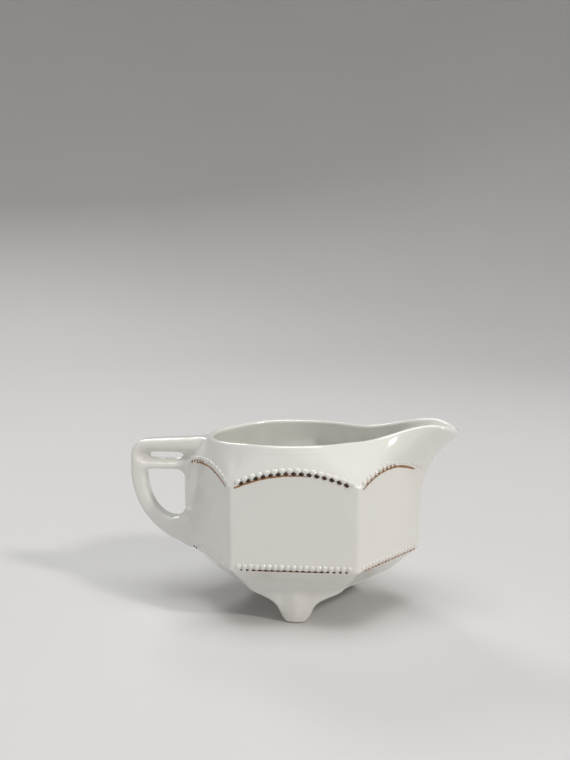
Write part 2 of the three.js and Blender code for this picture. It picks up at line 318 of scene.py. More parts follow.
# %% The outline of a foot
foot_radius = -(foot_low.y + foot_high.y) / 2
foot_places = [(-90, 1.0), (44, 0.8), (136, 0.8)]
foot_half_width = 17.7 * MM
foot_thickness = 4.2 * MM
foot_fade = 13 * MM
foot_end = 16 * MM
face_low = 0.9 * MM
face_high = 1.6 * MM
tip_steps = 30
root_steps = 40
tip = Vector((2.8, 0)) * MM
waist = Vector((6.1, 4.6)) * MM
root = Vector((foot_half_width, underside))
foot_outline = interpolate_bezier(
    tip, Vector((4.3, 0)) * MM, Vector((5.1, 2.4)) * MM, waist, tip_steps,
)[:-1] + interpolate_bezier(
    waist, Vector((7.8, 9.4)) * MM, Vector((15.6, 9.2)) * MM, root, root_steps,
)
print(len(foot_outline), "points on half the outline of a foot")


def tongue_depth(across):
    """How far the foot hangs below the underside, at a distance from its middle."""
    across = abs(across)
    if across <= tip.x:
        return underside
    for start, end in zip(foot_outline, foot_outline[1:]):
        if across <= end.x:
            share = (across - start.x) / (end.x - start.x)
            return underside - mix(start.y, end.y, share)
    return 0.0


class Foot:
    """A tongue at an angle round the jug, as wide as its spread says."""

    def __init__(self, degrees, spread):
        angle = math.radians(degrees)
        self.spread = spread
        self.facing = Vector((math.cos(angle), math.sin(angle)))
        self.sideways = Vector((-self.facing.y, self.facing.x))
        self.centre = self.facing * foot_radius

    def across(self, plan):
        return (plan - self.centre).dot(self.sideways) / self.spread

    def behind(self, plan):
        return self.face(underside) - (plan - self.centre).dot(self.facing)

    def face(self, height):
        """The outer face leans out a little as it rises."""
        return mix(face_low, face_high, clamp(height / underside))

    def depth(self, plan):
        behind = self.behind(plan)
        if behind > foot_end:
            return 0.0
        hang = tongue_depth(self.across(plan))
        return hang * (1 - ease(behind, foot_thickness, foot_fade))


feet = [Foot(degrees, spread) for degrees, spread in foot_places]


# %% The lower facets and the edge where they turn under
facet_bend = 1.1 * MM
full_depth = 0.9 * underside
face_end = 0.7 * underside


def facet_share(height):
    """The plan of the lower facets against the corners': upright below, sloping above."""
    above = facet_bend * math.log(1 + math.exp((height - underside) / facet_bend))
    widening = (lower_edge_share - underside_share) * above / (lower_edge - underside)
    return underside_share + widening


def drawn_skin(side, share, height):
    """A place on the lower facets or on the face of a foot."""
    plan = hexagon(side, share, edge_soft) * facet_share(height)
    level = hexagon(side, share, edge_soft) * facet_share(underside)
    depths = [foot.depth(level) for foot in feet]
    foot = feet[depths.index(max(depths))]
    sideways = foot.sideways * foot.across(plan) * foot.spread
    on_face = foot.centre + foot.facing * foot.face(height) + sideways
    near = ease(max(depths), 0, full_depth) * (1 - ease(height, face_end, lower_edge))
    plan = plan.lerp(on_face, near)
    return Vector((plan.x, plan.y, height)), underside - max(depths)


def lowest_edge(side, samples=260):
    """The line where one side turns under, drawn down at the feet, and its shares."""
    line = []
    for i in range(samples + 1):
        share = i / samples
        _, height = drawn_skin(side, share, underside)
        line.append((drawn_skin(side, share, height)[0], share))
    return line


def even_steps(line, steps):
    """Places at an even distance along a line of points with shares."""
    lengths = [(b[0] - a[0]).length for a, b in zip(line, line[1:])]
    total, passed, i = sum(lengths), 0.0, 0
    found = []
    for step in range(steps):
        goal = total * step / steps
        while passed + lengths[i] < goal:
            passed += lengths[i]
            i += 1
        blend = (goal - passed) / lengths[i]
        (here, share), (there, next_share) = line[i:i + 2]
        found.append((here.lerp(there, blend), mix(share, next_share, blend)))
    return found


edge_points, edge_shares = [], []
for side in range(SIDES):
    for point, share in even_steps(lowest_edge(side), COLUMNS_PER_SIDE):
        edge_points.append(point)
        edge_shares.append(share)
print("lowest point of the skin", round(min(p.z for p in edge_points) / MM, 2), "mm")

# %% Rows from the middle of the underside to the lower beaded edge
edge_round = 0.9 * MM
underside_dome = 0.9 * MM
inward, upward = [], []
for i, point in enumerate(edge_points):
    run = edge_points[(i + 1) % len(edge_points)] - edge_points[i - 1]
    inwards = Vector((-run.y, run.x, 0)).normalized()
    upwards = run.cross(inwards).normalized()
    inward.append(inwards)
    upward.append(upwards if upwards.z > 0 else -upwards)


def underside_row(share):
    """A ring under the jug, with the backs of the feet hanging from it."""
    row = []
    for point, inwards in zip(edge_points, inward):
        outer = point + inwards * edge_round
        plan = Vector((outer.x, outer.y)) * share
        hang = max(foot.depth(plan) for foot in feet)
        level = underside + underside_dome * (1 - share**4) - hang
        row.append(Vector((plan.x, plan.y, mix(level, point.z, ease(share, 0.9, 1)))))
    return row


def turn_row(degrees):
    """A ring on the rounding between the underside and the outer face."""
    angle = math.radians(degrees)
    back = edge_round * (1 - math.cos(angle))
    rise = edge_round * (1 - math.sin(angle))
    return [p + n * back + u * rise for p, n, u in zip(edge_points, inward, upward)]


def facet_row(share):
    """A ring between the turn and the lower beaded edge, gliding from one to the other."""
    row = []
    for column, low, run, edge_share in zip(columns, turn_row(0), upward, edge_shares):
        side_run = corners[(column.side + 1) % SIDES] - corners[column.side]
        slope = run.xy.dot(side_run.normalized())
        slide = edge_round * slope / (underside_share * side_run.length)
        place = mix(clamp(edge_share + slide), column.share, share)
        height = mix(low.z, lower_edge, share)
        point, _ = drawn_skin(column.side, place, height)
        row.append(low.lerp(point, ease(share, 0, 0.12)))
    return row


underside_rows = 36
facet_rows = 24
rows = [underside_row(i / underside_rows) for i in range(underside_rows + 1)]
rows += [turn_row(degrees) for degrees in (70, 50, 30, 12)]
rows += [facet_row(i / facet_rows) for i in range(facet_rows)]
print(len(rows), "rows up to the lower beaded edge")

# %% Rows up the panels, over the shoulder and round the rim
edge_spacing = [
    0, 0.012, 0.03, 0.06, 0.12, 0.25, 0.4, 0.55, 0.7, 0.82, 0.9, 0.95, 0.975, 0.99, 1,
]


def skin_row(heights):
    plan = [c.outside(z) for c, z in zip(columns, heights)]
    return raised(plan, heights)


for share in edge_spacing:
    rows.append(skin_row([mix(lower_edge, c.arch, share) for c in columns]))

shoulder_rows = 26
for i in range(1, shoulder_rows + 1):
    share = i / shoulder_rows
    rows.append(skin_row([mix(c.arch, c.top, share) for c in columns]))

# The rim is half a round that starts along the lean of the wall, so no line shows.
rim_row = [Vector((p.x, p.y)) for p in rows[-1]]


def rim_ring(degrees):
    """A ring on the half round, so many degrees on from the lean of the wall."""
    angles = [c.lean + math.radians(degrees) for c in columns]
    reach = [rim_radius * (math.cos(c.lean) - math.cos(a)) for c, a in zip(columns, angles)]
    rise = [rim_radius * (math.sin(a) - math.sin(c.lean)) for c, a in zip(columns, angles)]
    return raised(inset(rim_row, reach), [c.top + lift for c, lift in zip(columns, rise)])


rows += [rim_ring(degrees) for degrees in range(18, 181, 18)]
print(len(rows), "rows up to the inner edge of the rim")

# %% Rows down the inside to the middle of the floor
inside_rows = 40
inside_corner = 9 * MM
inside_taper = 0.78
floor_turn = 5 * MM
floor_rings = 8
rim_end = rows[-1]
rim_starts = [2 * rim_radius * math.cos(c.lean) for c in columns]
for i in range(1, inside_rows + 1):
    share = i / inside_rows
    below_rim = ease(share, 0, 0.3)
    heights = [mix(p.z, floor_level + floor_turn, share) for p in rim_end]
    plan = []
    for column, z in zip(columns, heights):
        level = min(z + 2 * rim_radius * math.sin(column.lean), column.top)
        point = column.outside(max(mix(level, z, below_rim), lower_edge), inside_corner)
        narrowing = mix(inside_taper, 1, clamp((z - underside) / (lower_edge - underside)))
        plan.append(point * narrowing)
    thickness = [mix(start, wall, below_rim) for start in rim_starts]
    rows.append(raised(inset(plan, thickness), heights))

last = rows[-1]
for degrees in (18, 36, 54, 72, 90):
    angle = math.radians(degrees)
    plan = inset([Vector((p.x, p.y)) for p in last], floor_turn * (1 - math.cos(angle)))
    rows.append(raised(plan, [p.z - floor_turn * math.sin(angle) for p in last]))
floor_ring = rows[-1]
for i in range(1, floor_rings + 1):
    share = 1 - i / floor_rings
    rows.append([Vector((p.x * share, p.y * share, p.z)) for p in floor_ring])
print(len(rows), "rows from the underside to the floor of the inside")

# %% [markdown]
# ## The body and its feet
# The sheet starts as a plain grid. Each of its points is sent to its column and
# row, the open side is closed by merging, and a little smoothing melts every
# edge, as glaze does in the kiln. The shoulder is smoothed further, because the
# flat panels flow there into the round mouth without a line.

# %% Roll the sheet
above_border = 1.5 * MM
below_rim_edge = 2 * MM
shoulder_passes = 14


def nearest_column(place):
    """The column that meets the mouth in the same direction from the axis."""
    angle = math.atan2(place.y, place.x) % math.tau

    def turn_between(column):
        turn = math.atan2(column.mouth.y, column.mouth.x) - angle
        return abs((turn + math.pi) % math.tau - math.pi)

    return min(columns, key=turn_between)


def on_shoulder(place):
    """True on the outside, above the arched border and well below the rim."""
    nearest = nearest_column(place)
    outside = Vector((place.x, place.y)).length > nearest.mouth.length - rim_thickness
    return outside and nearest.arch + above_border < place.z < nearest.top - below_rim_edge


def rolled_sheet(rows):
    """A grid whose points are sent to the rows, and whose open side is closed."""
    bm = bmesh.new()
    across, up = len(rows[0]), len(rows) - 1
    bmesh.ops.create_grid(bm, x_segments=across, y_segments=up, size=1)
    for vert in bm.verts:
        column = round((vert.co.x + 1) / 2 * across) % across
        row = round((vert.co.y + 1) / 2 * up)
        vert.co = rows[row][column]
    bmesh.ops.remove_doubles(bm, verts=bm.verts, dist=1e-7)
    return bm


def soften(bm, verts, passes):
    """Draws each point halfway to the middle of its neighbours, again and again."""
    for _ in range(passes):
        bmesh.ops.smooth_vert(
            bm, verts=verts, factor=0.5, use_axis_x=True, use_axis_y=True, use_axis_z=True,
        )


body_bm = rolled_sheet(rows)
soften(body_bm, body_bm.verts, 2)
raised_verts = [v for v in body_bm.verts if v.co.z > corner_top + above_border]
shoulder = [v for v in raised_verts if on_shoulder(v.co)]
soften(body_bm, shoulder, shoulder_passes)
print(len(shoulder), "points of the shoulder softened")

# %% Ridge down the middle of each foot
keel = 2.2 * MM
keel_reach = 11 * MM
keel_bluntness = 0.8 * MM
keel_power = 1.2
keel_depth = 5 * MM
keel_fade = 9 * MM
keel_top = 20 * MM
for vert in body_bm.verts:
    if vert.co.z > keel_top:
        continue
    plan = Vector((vert.co.x, vert.co.y))
    for foot in feet:
        across, behind = foot.across(plan), foot.behind(plan)
        if behind > keel_depth or plan.dot(foot.facing) < 0:
            continue
        blunt = math.hypot(across, keel_bluntness) - keel_bluntness
        height = keel * max(0, 1 - blunt / keel_reach) ** keel_power
        height *= (1 - ease(vert.co.z, keel_fade, keel_top)) * (1 - ease(behind, 0, keel_depth))
        vert.co += Vector((foot.facing.x, foot.facing.y, 0)) * height

bmesh.ops.translate(body_bm, verts=body_bm.verts, vec=(axis_x, 0, 0))
bmesh.ops.recalc_face_normals(body_bm, faces=body_bm.faces)
body = finish_piece(
    "body_with_feet", body_bm,
    ["body_shell", "foot_front", "foot_back_lip_side", "foot_back_handle_side"],
)

# %% [markdown]
# ## The handle
# The handle was cast apart as a flat loop: a bar along the top, a second bar under
# a narrow slot, and a sweep back to the body round the finger gap. Here it is
# cut from one outline, its edges are rounded, the web round the slot is sunk, and
# the whole is remeshed and smoothed so that every inside corner fills like glaze.

# %% Outline of the loop
handle_reach = axis_x - handle_low.x
handle_thickness = handle_high.y - handle_low.y
handle_foot = handle_low.z
handle_top = 63.4 * MM
upper_bar = 6 * MM
slot_height = 2.6 * MM
slot_length = 13.7 * MM
lower_bar = 3.9 * MM
upright = 5.6 * MM
gap_top = handle_top - upper_bar - slot_height - lower_bar
gap_floor = handle_foot + 11 * MM
gap_left = upright - handle_reach
gap_corner = 1.6 * MM
arm_spread = 1.6 * MM
joint_fill = 2.6 * MM
curve_steps = 8


def arc(centre, radii, start, end, steps):
    """Points on a quarter or more of an ellipse, from one angle to another."""
    angles = [math.radians(mix(start, end, i / steps)) for i in range(steps + 1)]
    return [centre + Vector((radii[0] * math.cos(a), radii[1] * math.sin(a))) for a in angles]


def curve(points):
    return [Vector(p[:2]) for p in interpolate_bezier(*points, curve_steps)]


def loop_outline():
    """The loop from the side, with both its ends run on inside the body."""
    inside_body = 12 * MM - corner_reach
    sweep = Vector((8 * MM - corner_reach, gap_top + 0.4 * MM))
    gap = Vector((-corner_reach - 3.4 * MM, gap_top - 1.2 * MM))
    left = -handle_reach
    top_left = curve([
        Vector((left + 6 * MM, handle_top - 0.9 * MM)),
        Vector((left + 2.6 * MM, handle_top - 1.1 * MM)),
        Vector((left + 0.7 * MM, handle_top - 2.6 * MM)),
        Vector((left + 0.25 * MM, handle_top - 6 * MM)),
    ])
    outer = arc(sweep, (handle_reach + sweep.x, sweep.y - handle_foot), 180, 270, 30)
    under = curve([
        Vector((inside_body, gap_floor + arm_spread)),
        Vector((1 * MM - corner_reach, gap_floor + arm_spread)),
        Vector((gap.x + 2.5 * MM, gap_floor)),
        Vector((gap.x, gap_floor)),
    ])
    inner = arc(gap, (gap.x - gap_left, gap.y - gap_floor), 270, 180, 16)
    bend = Vector((gap_left + gap_corner, gap_top - gap_corner))
    corner = arc(bend, (gap_corner, gap_corner), 180, 90, 5)
    fill = Vector((-corner_reach - 1.2 * MM, gap_top - joint_fill))
    corner += arc(fill, (joint_fill, joint_fill), 90, 0, 5)
    corner.append(Vector((inside_body, fill.y)))
    top_end = [Vector((inside_body, handle_top + 0.6 * MM))]
    low_end = [Vector((inside_body, handle_foot + 0.6 * MM))]
    return top_left + outer + low_end + under + inner[1:] + corner + top_end


def stadium(left, right, low, high):
    """A slot with half-round ends."""
    radius = (high - low) / 2
    middle = (high + low) / 2
    right_end = arc(Vector((right - radius, middle)), (radius, radius), -90, 90, 10)
    left_end = arc(Vector((left + radius, middle)), (radius, radius), 90, 270, 10)
    return right_end + left_end


outline = loop_outline()
print(len(outline), "points on the outline of the loop")


# %% Cut it out and round it
def plate(outline, low, high, rounding=0.0, segments=1):
    """A flat plate standing along the jug's middle, from one depth to another."""
    bm = bmesh.new()
    verts = [bm.verts.new((p.x + axis_x, low, p.y)) for p in outline]
    face = bm.faces.new(verts)
    pushed = bmesh.ops.extrude_face_region(bm, geom=[face])["geom"]
    moved = [g for g in pushed if isinstance(g, bmesh.types.BMVert)]
    bmesh.ops.translate(bm, verts=moved, vec=(0, high - low, 0))
    bmesh.ops.remove_doubles(bm, verts=bm.verts, dist=1e-6)
    bmesh.ops.recalc_face_normals(bm, faces=bm.faces)
    if rounding:
        flat = [f for f in bm.faces if abs(f.normal.y) > 0.9]
        edges = list({e for f in flat for e in f.edges})
        bmesh.ops.bevel(
            bm, geom=edges, offset=rounding, offset_type="OFFSET", affect="EDGES",
            segments=segments, profile=0.5, material=-1, clamp_overlap=True,
        )
    return shape("plate", bm)


def carve(piece, cutter):
    cut = piece.modifiers.new("carve", "BOOLEAN")
    cut.operation = "DIFFERENCE"
    cut.solver = "EXACT"
    cut.object = cutter


def settled(piece):
    """The mesh of a piece with its modifiers applied, as a bmesh."""
    bpy.context.view_layer.update()
    evaluated = piece.evaluated_get(bpy.context.evaluated_depsgraph_get())
    bm = bmesh.new()
    bm.from_mesh(evaluated.to_mesh())
    evaluated.to_mesh_clear()
    return bm


half = handle_thickness / 2
loop_rounding = 2.2 * MM
slot_clearance = 0.3 * MM
slot_trim = 0.3 * MM
web_face = 1.1 * MM
web_end = 9 * MM
web_rounding = 2.4 * MM
voxel = 0.36 * MM
glaze_passes = 48

slot_right = slot_clearance - corner_reach
slot_left = slot_right - slot_length
slot_top = handle_top - upper_bar
slot_low = slot_top - slot_height
loop = plate(outline, -half, half, loop_rounding, 6)
opening = stadium(slot_left, slot_right, slot_low + slot_trim, slot_top - slot_trim)
slot = plate(opening, -2 * half, 2 * half)
web = stadium(slot_left - 4 * MM, slot_right + 9 * MM, slot_low - 1.2 * MM, slot_top + 1.5 * MM)
sinkings = [plate(web, side * web_face, side * web_end, web_rounding, 5) for side in (-1, 1)]
for cutter in [slot, *sinkings]:
    carve(loop, cutter)
skin = loop.modifiers.new("skin", "REMESH")
skin.mode = "VOXEL"
skin.voxel_size = voxel
handle_bm = settled(loop)
for scratch in [loop, slot, *sinkings]:
    bpy.data.objects.remove(scratch)
soften(handle_bm, handle_bm.verts, glaze_passes)
print("handle mesh", len(handle_bm.verts), "points")

# %% [markdown]
# Where clay meets clay the joint is filled. Every point of the handle that lies
# close to the body is pushed out along its own surface, so that the handle spreads
# into the body with a hollow curve instead of a hard line. What would come through
# the wall, or stand over the rim, is drawn back to end inside the wall.

# %% Fill the joint with the body
joint_radius = 4 * MM
joint_passes = 6
root_depth = 1.2 * MM
rim_clearance = 1.4 * MM


def fill_joint(bm, neighbour, radius):
    """Spreads the handle where it comes closer to its neighbour than the radius."""
    tree = BVHTree.FromObject(neighbour, bpy.context.evaluated_depsgraph_get())
    bm.normal_update()
    moves = {}
    for vert in bm.verts:
        place, normal, _, distance = tree.find_nearest(vert.co, radius * 1.5)
        if place is None:
            continue
        away = distance if (vert.co - place).dot(normal) > 0 else 0.0
        if away < radius:
            hollow = radius - math.sqrt(radius * radius - (radius - away) ** 2)
            flat = vert.normal - normal * vert.normal.dot(normal)
            moves[vert] = flat * min(0.75 * hollow, radius * 0.8)
    for vert, move in moves.items():
        vert.co += move
    near = [v for v in bm.verts if tree.find_nearest(v.co, radius * 1.3)[0] is not None]
    soften(bm, near, joint_passes)


def trim_root(bm, neighbour, depth):
    """Draws back whatever of the handle would come through the wall or over the rim."""
    tree = BVHTree.FromObject(neighbour, bpy.context.evaluated_depsgraph_get())
    ceiling = columns[SIDES // 2 * COLUMNS_PER_SIDE].rim - rim_clearance
    for vert in bm.verts:
        vert.co.z = min(vert.co.z, ceiling)
        start = Vector((handle_low.x - 10 * MM, vert.co.y, vert.co.z))
        place, _, _, _ = tree.ray_cast(start, Vector((1, 0, 0)))
        if place is not None and vert.co.x > place.x + depth:
            vert.co.x = place.x + depth


fill_joint(handle_bm, body, joint_radius)
trim_root(handle_bm, body, root_depth)
handle = finish_piece("loop_handle", handle_bm, ["handle"])

# %% [markdown]
# ## Beads
# A border of small raised beads follows the arch over each panel, and another runs
# along each lower edge. One bead is a squashed ball of a few dozen faces, half sunk
# in the body, and it is copied along the border at an even pitch.

# %% Where a border runs
surface = BVHTree.FromObject(body, bpy.context.evaluated_depsgraph_get())
side_names = ["back_lip", "back", "back_handle", "front_handle", "front", "front_lip"]
LIP_SIDES = (0, 5)
HANDLE_SIDES = (2, 3)
handle_corner = 3
bead_radius = 1.1 * MM
bead_height = 1.0 * MM
bead_relief = 0.5 * MM
end_margin = 2.4 * MM
handle_margin = half + 3.4 * MM
print(len(side_names), "sides, each with a border above and below")


def border_point(side, upper, share, drop):
    """A place on the skin along a border, and the skin's normal there."""
    low, high = corners[side], corners[(side + 1) % SIDES]
    run = (high - low).normalized()
    outward = Vector((run.y, -run.x, 0))
    level = arch_height(share) if upper else lower_edge + bead_radius
    plan = low.lerp(high, share)
    start = Vector((plan.x + axis_x, plan.y, level - drop)) + outward * 9 * MM
    place, normal, _, _ = surface.ray_cast(start, -outward)
    return place, normal


class Border:
    """One border as evenly spaced stations, each a place, a direction and a normal."""

    def __init__(self, side, upper, drop, steps=160):
        shares = [i / steps for i in range(steps + 1)]
        self.stations = [(share, *border_point(side, upper, share, drop)) for share in shares]
        self.distances = [0.0]
        for (_, here, _), (_, there, _) in zip(self.stations, self.stations[1:]):
            self.distances.append(self.distances[-1] + (there - here).length)
        ends = [corner % SIDES == handle_corner for corner in (side, side + 1)]
        margins = [handle_margin if at_handle else end_margin for at_handle in ends]
        self.start = margins[0]
        self.end = self.distances[-1] - margins[1]

    def at(self, distance):
        """The share, place, direction and normal at a distance along the border."""
        for i, there in enumerate(self.distances[1:]):
            if distance <= there:
                span = there - self.distances[i]
                blend = (distance - self.distances[i]) / span
                (share, here, normal), (share_b, place, normal_b) = self.stations[i:i + 2]
                along = (place - here).normalized()
                outward = normal.lerp(normal_b, blend).normalized()
                return mix(share, share_b, blend), here.lerp(place, blend), along, outward
        share, place, normal = self.stations[-1]
        return share, place, (place - self.stations[-2][1]).normalized(), normal


def placement(place, along, outward, size):
    """A matrix that sets a unit ball on the skin, stretched along, up and out."""
    upward = outward.cross(along).normalized()
    axes = [along * size[0], upward * size[1], outward * size[2]]
    return Matrix.Translation(place) @ Matrix(axes).transposed().to_4x4()


# %% String the beads
def share_to_lip(side, share):
    """How far along a side a place is, counted from the handle towards the lip."""
    return share if side >= handle_corner else 1 - share


def bead_strength(side, upper, share):
    """Beads come out of the mould weaker towards the lip and beside the handle."""
    if side in LIP_SIDES:
        return 1 - 0.8 * ease(share_to_lip(side, share), 0.3, 0.7) if upper else 0.75
    if side in HANDLE_SIDES:
        return 0.6 if upper else 0.35
    return 1.0


def string_beads(side, upper, pitch):
    border = Border(side, upper, 0.0)
    count = round((border.end - border.start) / pitch)
    bm = bmesh.new()
    for i in range(count):
        distance = mix(border.start, border.end, (i + 0.5) / count)
        share, place, along, outward = border.at(distance)
        strength = bead_strength(side, upper, share)
        wobble = 1 + 0.1 * noise.noise(place * 900)
        rise = outward.cross(along).normalized() * 0.3 * MM
        height = bead_height * wobble * mix(0.8, 1, strength)
        size = [0.5 * pitch * wobble, height, bead_relief * strength]
        bmesh.ops.create_uvsphere(
            bm, u_segments=8, v_segments=6, radius=1,
            matrix=placement(place + rise, along, outward, size),
        )
    level = "upper" if upper else "lower"
    name = f"{level}_beads_{side_names[side]}"
    return finish_piece(name, bm, [f"{level}_beading_{side_names[side]}"])


upper_pitch = 2.65 * MM
lower_pitch = 2.2 * MM
bead_pieces = []
for side in range(SIDES):
    bead_pieces.append(string_beads(side, True, upper_pitch))
    bead_pieces.append(string_beads(side, False, lower_pitch))

# %% [markdown]
# ## Gilding
# A painter touched the borders with liquid gold. It ran into the gaps between the
# beads, where it sits as small drops, on some sides coloured nearly black as painted
# dark reflection, and a fine line was drawn beneath. The brush was quick, so the line
# swells, thins and breaks off, and it is more worn on some sides than on others.

# %% How much gold lies where
def between(share, start, end, soft=0.06):
    """One from start to end of a border, and nought outside, with soft ends."""
    return ease(share, start - soft, start + soft) * (1 - ease(share, end - soft, end + soft))


def painted(side, upper, share):
    """The gold in the pools between the beads, and in the line, from none to full."""
    along = share_to_lip(side, share)
    if upper and side in LIP_SIDES:
        pools = 0.4 * between(along, 0, 0.52)
        line = mix(0.45, 1, ease(along, 0.3, 0.6)) * between(along, 0, 0.82, 0.03)
    elif upper and side in HANDLE_SIDES:
        pools = 0.3 * between(along, 0.05, 0.5)
        line = 0.7 * between(along, 0.35, 0.95)
    elif upper:
        pools = mix(0.75, 1, ease(along, 0.2, 0.5)) * between(along, 0.06, 0.95, 0.03)
        line = mix(0.8, 0.1, ease(along, 0.3, 0.65))
    elif side in LIP_SIDES:
        pools = 0.55 * between(along, 0, 1)
        line = 0.25 * between(along, 0, 0.9)
    elif side in HANDLE_SIDES:
        pools = 0.5 * between(along, 0.12, 0.3)
        line = 0
    else:
        pools = 0.6 * between(along, 0.1, 0.92)
        line = 0.9 * between(along, 0.2, 0.72)
    return pools, line


# %% Pools and line
line_steps = 150
line_thickness = 0.12 * MM
line_edge = 0.03 * MM
least_pool = 0.12


def gold_line(bm, side, upper, drop, width):
    """A thin ribbon of gold that lies on the skin, with its edges just inside it."""
    border = Border(side, upper, drop)
    strip = bmesh.ops.create_grid(bm, x_segments=line_steps, y_segments=4, size=1)
    for vert in strip["verts"]:
        distance = mix(border.start, border.end, (vert.co.x + 1) / 2)
        across = vert.co.y
        share, place, along, outward = border.at(distance)
        _, load = painted(side, upper, share)
        brush = noise.noise(Vector((distance * 420, side * 3.7, drop * 900)))
        load *= mix(0.6, 1.2, 0.5 + 0.5 * brush)
        upward = outward.cross(along).normalized()
        ripple = 0.12 * MM * noise.noise(Vector((distance * 700, side, drop * 1000)))
        crown = line_thickness * (1 - across * across) * ease(load, 0.05, 0.25) - line_edge
        half_width = width / 2 * mix(0.4, 1.1, clamp(load))
        vert.co = place + upward * (across * half_width + ripple) + outward * crown


def gold_pools(bm, side, upper, pitch, drop, height):
    """Small pools of gold in the gaps between the beads, on their lower side."""
    border = Border(side, upper, drop)
    count = round((border.end - border.start) / pitch)
    # On these sides the pools take the near-black finish, which is painted dark reflection.
    painted_dark_pools = side not in LIP_SIDES and not (upper and side in HANDLE_SIDES)
    for i in range(1, count):
        distance = mix(border.start, border.end, i / count)
        share, place, along, outward = border.at(distance)
        pools, _ = painted(side, upper, share)
        load = pools * mix(0.85, 1.15, 0.5 + noise.noise(place * 1300))
        if load < least_pool:
            continue
        spread = mix(0.45, 1, clamp(load))
        size = [0.37 * pitch * spread, height * spread, 0.52 * MM * spread]
        pool = bmesh.ops.create_uvsphere(
            bm, u_segments=8, v_segments=6, radius=1,
            matrix=placement(place, along, outward, size),
        )
        for face in {face for vert in pool["verts"] for face in vert.link_faces}:
            face.material_index = 1 if painted_dark_pools else 0


# For each level: the drop and width of the line, the drop and height of the pools.
gold_sizes = {
    "upper": (1.45 * MM, 1.0 * MM, 0.75 * MM, 0.78 * MM),
    "lower": (1.25 * MM, 0.75 * MM, 0.95 * MM, 0.45 * MM),
}
gilding_pieces = []
for side in range(SIDES):
    for level, pitch in (("upper", upper_pitch), ("lower", lower_pitch)):
        upper = level == "upper"
        line_drop, line_width, pool_drop, pool_height = gold_sizes[level]
        gold_bm = bmesh.new()
        gold_line(gold_bm, side, upper, line_drop, line_width)
        gold_pools(gold_bm, side, upper, pitch, pool_drop, pool_height)
        name = f"{level}_gold_{side_names[side]}"
        node = f"{level}_gilding_{side_names[side]}"
        gilding_pieces.append(finish_piece(name, gold_bm, [node]))

# %% [markdown]
# ## Glaze and gold
# Glazed porcelain is a white body under a layer of clear glass, so its colour is
# soft and its shine is sharp. Neither is perfectly even: the glaze pools, ripples a
# little, and holds a few specks from the kiln. The gold has two finishes: worn brown
# where the line is thin, and near black on some pools, as painted dark reflection.

# %% A node group for slow and quick unevenness
def new_group(name, inputs, outputs):
    """An empty node group with its two ends."""
    group = bpy.data.node_groups.new(name, "ShaderNodeTree")
    for label, kind in inputs:
        group.interface.new_socket(label, in_out="INPUT", socket_type=kind)
    for label, kind in outputs:
        group.interface.new_socket(label, in_out="OUTPUT", socket_type=kind)
    entry = group.nodes.new("NodeGroupInput")
    leave = group.nodes.new("NodeGroupOutput")
    return group, entry, leave


def make_uneven_group():
    """Puts out a value that wanders between Low and High over the surface."""
    group, entry, leave = new_group(
        "uneven_fire",
        [("Vector", "NodeSocketVector"), ("Scale", "NodeSocketFloat"),
         ("Low", "NodeSocketFloat"), ("High", "NodeSocketFloat")],
        [("Value", "NodeSocketFloat")],
    )
    clouds = group.nodes.new("ShaderNodeTexNoise")
    clouds.inputs["Detail"].default_value = 3
    spread = group.nodes.new("ShaderNodeMapRange")
    spread.inputs["From Min"].default_value = 0.3
    spread.inputs["From Max"].default_value = 0.7
    join = group.links.new
    join(entry.outputs["Vector"], clouds.inputs["Vector"])
    join(entry.outputs["Scale"], clouds.inputs["Scale"])
    join(clouds.outputs["Fac"], spread.inputs["Value"])
    join(entry.outputs["Low"], spread.inputs["To Min"])
    join(entry.outputs["High"], spread.inputs["To Max"])
    join(spread.outputs["Result"], leave.inputs["Value"])
    return group


uneven_fire = make_uneven_group()


def make_specks_group():
    """Puts out a mask of a few small round specks, far apart."""
    group, entry, leave = new_group(
        "kiln_specks",
        [("Vector", "NodeSocketVector"), ("Scale", "NodeSocketFloat"), ("Size", "NodeSocketFloat")],
        [("Mask", "NodeSocketFloat")],
    )
    cells = group.nodes.new("ShaderNodeTexVoronoi")
    near = group.nodes.new("ShaderNodeMath")
    near.operation = "LESS_THAN"
    rare = group.nodes.new("ShaderNodeMath")
    rare.operation = "GREATER_THAN"
    rare.inputs[1].default_value = 0.8
    apart = group.nodes.new("ShaderNodeSeparateColor")
    both = group.nodes.new("ShaderNodeMath")
    both.operation = "MULTIPLY"
    join = group.links.new
    join(entry.outputs["Vector"], cells.inputs["Vector"])
    join(entry.outputs["Scale"], cells.inputs["Scale"])
    join(cells.outputs["Distance"], near.inputs[0])
    join(entry.outputs["Size"], near.inputs[1])
    join(cells.outputs["Color"], apart.inputs["Color"])
    join(apart.outputs["Red"], rare.inputs[0])
    join(near.outputs[0], both.inputs[0])
    join(rare.outputs[0], both.inputs[1])
    join(both.outputs[0], leave.inputs["Mask"])
    return group


kiln_specks = make_specks_group()


